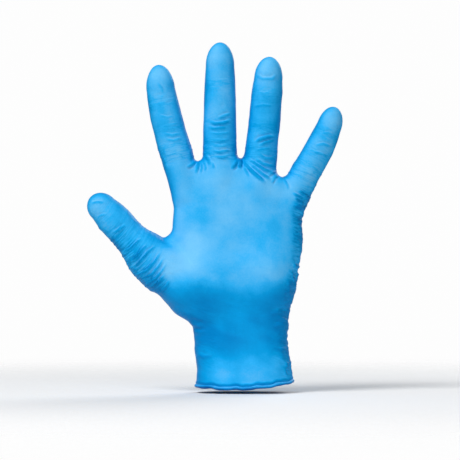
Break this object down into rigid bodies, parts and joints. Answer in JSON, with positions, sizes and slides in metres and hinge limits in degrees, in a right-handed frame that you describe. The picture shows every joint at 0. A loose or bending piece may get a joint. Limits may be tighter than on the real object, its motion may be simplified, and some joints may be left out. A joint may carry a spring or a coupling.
{
  "type": "disposable nitrile glove",
  "caption": "Thin blue disposable glove in its worn shape, open hand, with spread hollow fingers, a thumb and a short cuff ending in a rolled bead.",
  "frame": {"origin": "centre of the cuff's mouth, in the plane of the rolled bead's lower edge", "axes": "+Z from the cuff to the fingertips, palm facing -Y, thumb towards -X"},
  "size_m": [0.1677, 0.0438, 0.2294],
  "materials": {
    "nitrile_film": "soft satin, finely wrinkled thin film, pale sky blue",
    "rolled_bead": "satin, rolled film, a deeper blue because it is several layers thick"
  },
  "bodies": {
    "palm": {"palm": "nitrile_film"},
    "cuff": {"cuff": "nitrile_film", "cuff_bead": "rolled_bead"},
    "thumb_root": {"thumb_root": "nitrile_film"},
    "thumb_base": {"thumb_base": "nitrile_film"},
    "thumb_tip": {"thumb_tip": "nitrile_film"},
    "index_root": {"index_root": "nitrile_film"},
    "index_base": {"index_base": "nitrile_film"},
    "index_middle": {"index_middle": "nitrile_film"},
    "index_tip": {"index_tip": "nitrile_film"},
    "middle_root": {"middle_root": "nitrile_film"},
    "middle_base": {"middle_base": "nitrile_film"},
    "middle_middle": {"middle_middle": "nitrile_film"},
    "middle_tip": {"middle_tip": "nitrile_film"},
    "ring_root": {"ring_root": "nitrile_film"},
    "ring_base": {"ring_base": "nitrile_film"},
    "ring_middle": {"ring_middle": "nitrile_film"},
    "ring_tip": {"ring_tip": "nitrile_film"},
    "little_root": {"little_root": "nitrile_film"},
    "little_base": {"little_base": "nitrile_film"},
    "little_middle": {"little_middle": "nitrile_film"},
    "little_tip": {"little_tip": "nitrile_film"}
  },
  "joints": [
    {"name": "wrist_flex", "type": "hinge", "parent": "palm", "child": "cuff", "pos_m": [-0.0022, 0, 0.036], "axis": [-1, 0, 0], "range_deg": [-45, 45]},
    {"name": "thumb_spread", "type": "hinge", "parent": "palm", "child": "thumb_root", "pos_m": [-0.064, 0, 0.088], "axis": [0, 1, 0], "range_deg": [-10, 20]},
    {"name": "thumb_fold", "type": "hinge", "parent": "thumb_root", "child": "thumb_base", "pos_m": [-0.064, 0, 0.088], "axis": [0.7314, 0, 0.682], "range_deg": [-10, 40]},
    {"name": "thumb_tip_flex", "type": "hinge", "parent": "thumb_base", "child": "thumb_tip", "pos_m": [-0.07969, 0, 0.10482], "axis": [0.7314, 0, 0.682], "range_deg": [0, 65]},
    {"name": "index_spread", "type": "hinge", "parent": "palm", "child": "index_root", "pos_m": [-0.0453, 0, 0.1545], "axis": [0, 1, 0], "range_deg": [-8, 10]},
    {"name": "index_flex", "type": "hinge", "parent": "index_root", "child": "index_base", "pos_m": [-0.0453, 0, 0.1545], "axis": [0.9774, 0, 0.2113], "range_deg": [-10, 75]},
    {"name": "index_middle_flex", "type": "hinge", "parent": "index_base", "child": "index_middle", "pos_m": [-0.04921, 0, 0.17258], "axis": [0.9774, 0, 0.2113], "range_deg": [0, 80]},
    {"name": "index_tip_flex", "type": "hinge", "parent": "index_middle", "child": "index_tip", "pos_m": [-0.05333, 0, 0.19164], "axis": [0.9774, 0, 0.2113], "range_deg": [0, 40]},
    {"name": "middle_spread", "type": "hinge", "parent": "palm", "child": "middle_root", "pos_m": [-0.0168, 0, 0.1555], "axis": [0, 1, 0], "range_deg": [-5, 5]},
    {"name": "middle_flex", "type": "hinge", "parent": "middle_root", "child": "middle_base", "pos_m": [-0.0168, 0, 0.1555], "axis": [1, 0, 0], "range_deg": [-10, 75]},
    {"name": "middle_middle_flex", "type": "hinge", "parent": "middle_base", "child": "middle_middle", "pos_m": [-0.0168, 0, 0.1775], "axis": [1, 0, 0], "range_deg": [0, 80]},
    {"name": "middle_tip_flex", "type": "hinge", "parent": "middle_middle", "child": "middle_tip", "pos_m": [-0.0168, 0, 0.2025], "axis": [1, 0, 0], "range_deg": [0, 40]},
    {"name": "ring_spread", "type": "hinge", "parent": "palm", "child": "ring_root", "pos_m": [0.0099, 0, 0.152], "axis": [0, -1, 0], "range_deg": [-5, 5]},
    {"name": "ring_flex", "type": "hinge", "parent": "ring_root", "child": "ring_base", "pos_m": [0.0099, 0, 0.152], "axis": [0.9952, 0, -0.0976], "range_deg": [-10, 75]},
    {"name": "ring_middle_flex", "type": "hinge", "parent": "ring_base", "child": "ring_middle", "pos_m": [0.0119, 0, 0.1724], "axis": [0.9952, 0, -0.0976], "range_deg": [0, 80]},
    {"name": "ring_tip_flex", "type": "hinge", "parent": "ring_middle", "child": "ring_tip", "pos_m": [0.0141, 0, 0.19479], "axis": [0.9952, 0, -0.0976], "range_deg": [0, 40]},
    {"name": "little_spread", "type": "hinge", "parent": "palm", "child": "little_root", "pos_m": [0.0394, 0, 0.1418], "axis": [0, -1, 0], "range_deg": [-5, 15]},
    {"name": "little_flex", "type": "hinge", "parent": "little_root", "child": "little_base", "pos_m": [0.0394, 0, 0.1418], "axis": [0.9018, 0, -0.4321], "range_deg": [-10, 75]},
    {"name": "little_middle_flex", "type": "hinge", "parent": "little_base", "child": "little_middle", "pos_m": [0.04653, 0, 0.15668], "axis": [0.9018, 0, -0.4321], "range_deg": [0, 80]},
    {"name": "little_tip_flex", "type": "hinge", "parent": "little_middle", "child": "little_tip", "pos_m": [0.0528, 0, 0.16976], "axis": [0.9018, 0, -0.4321], "range_deg": [0, 40]}
  ],
  "couplings": [
    {"joint": "index_tip_flex", "follows": "index_middle_flex", "ratio": 0.5},
    {"joint": "middle_tip_flex", "follows": "middle_middle_flex", "ratio": 0.5},
    {"joint": "ring_tip_flex", "follows": "ring_middle_flex", "ratio": 0.5},
    {"joint": "little_tip_flex", "follows": "little_middle_flex", "ratio": 0.5}
  ]
}
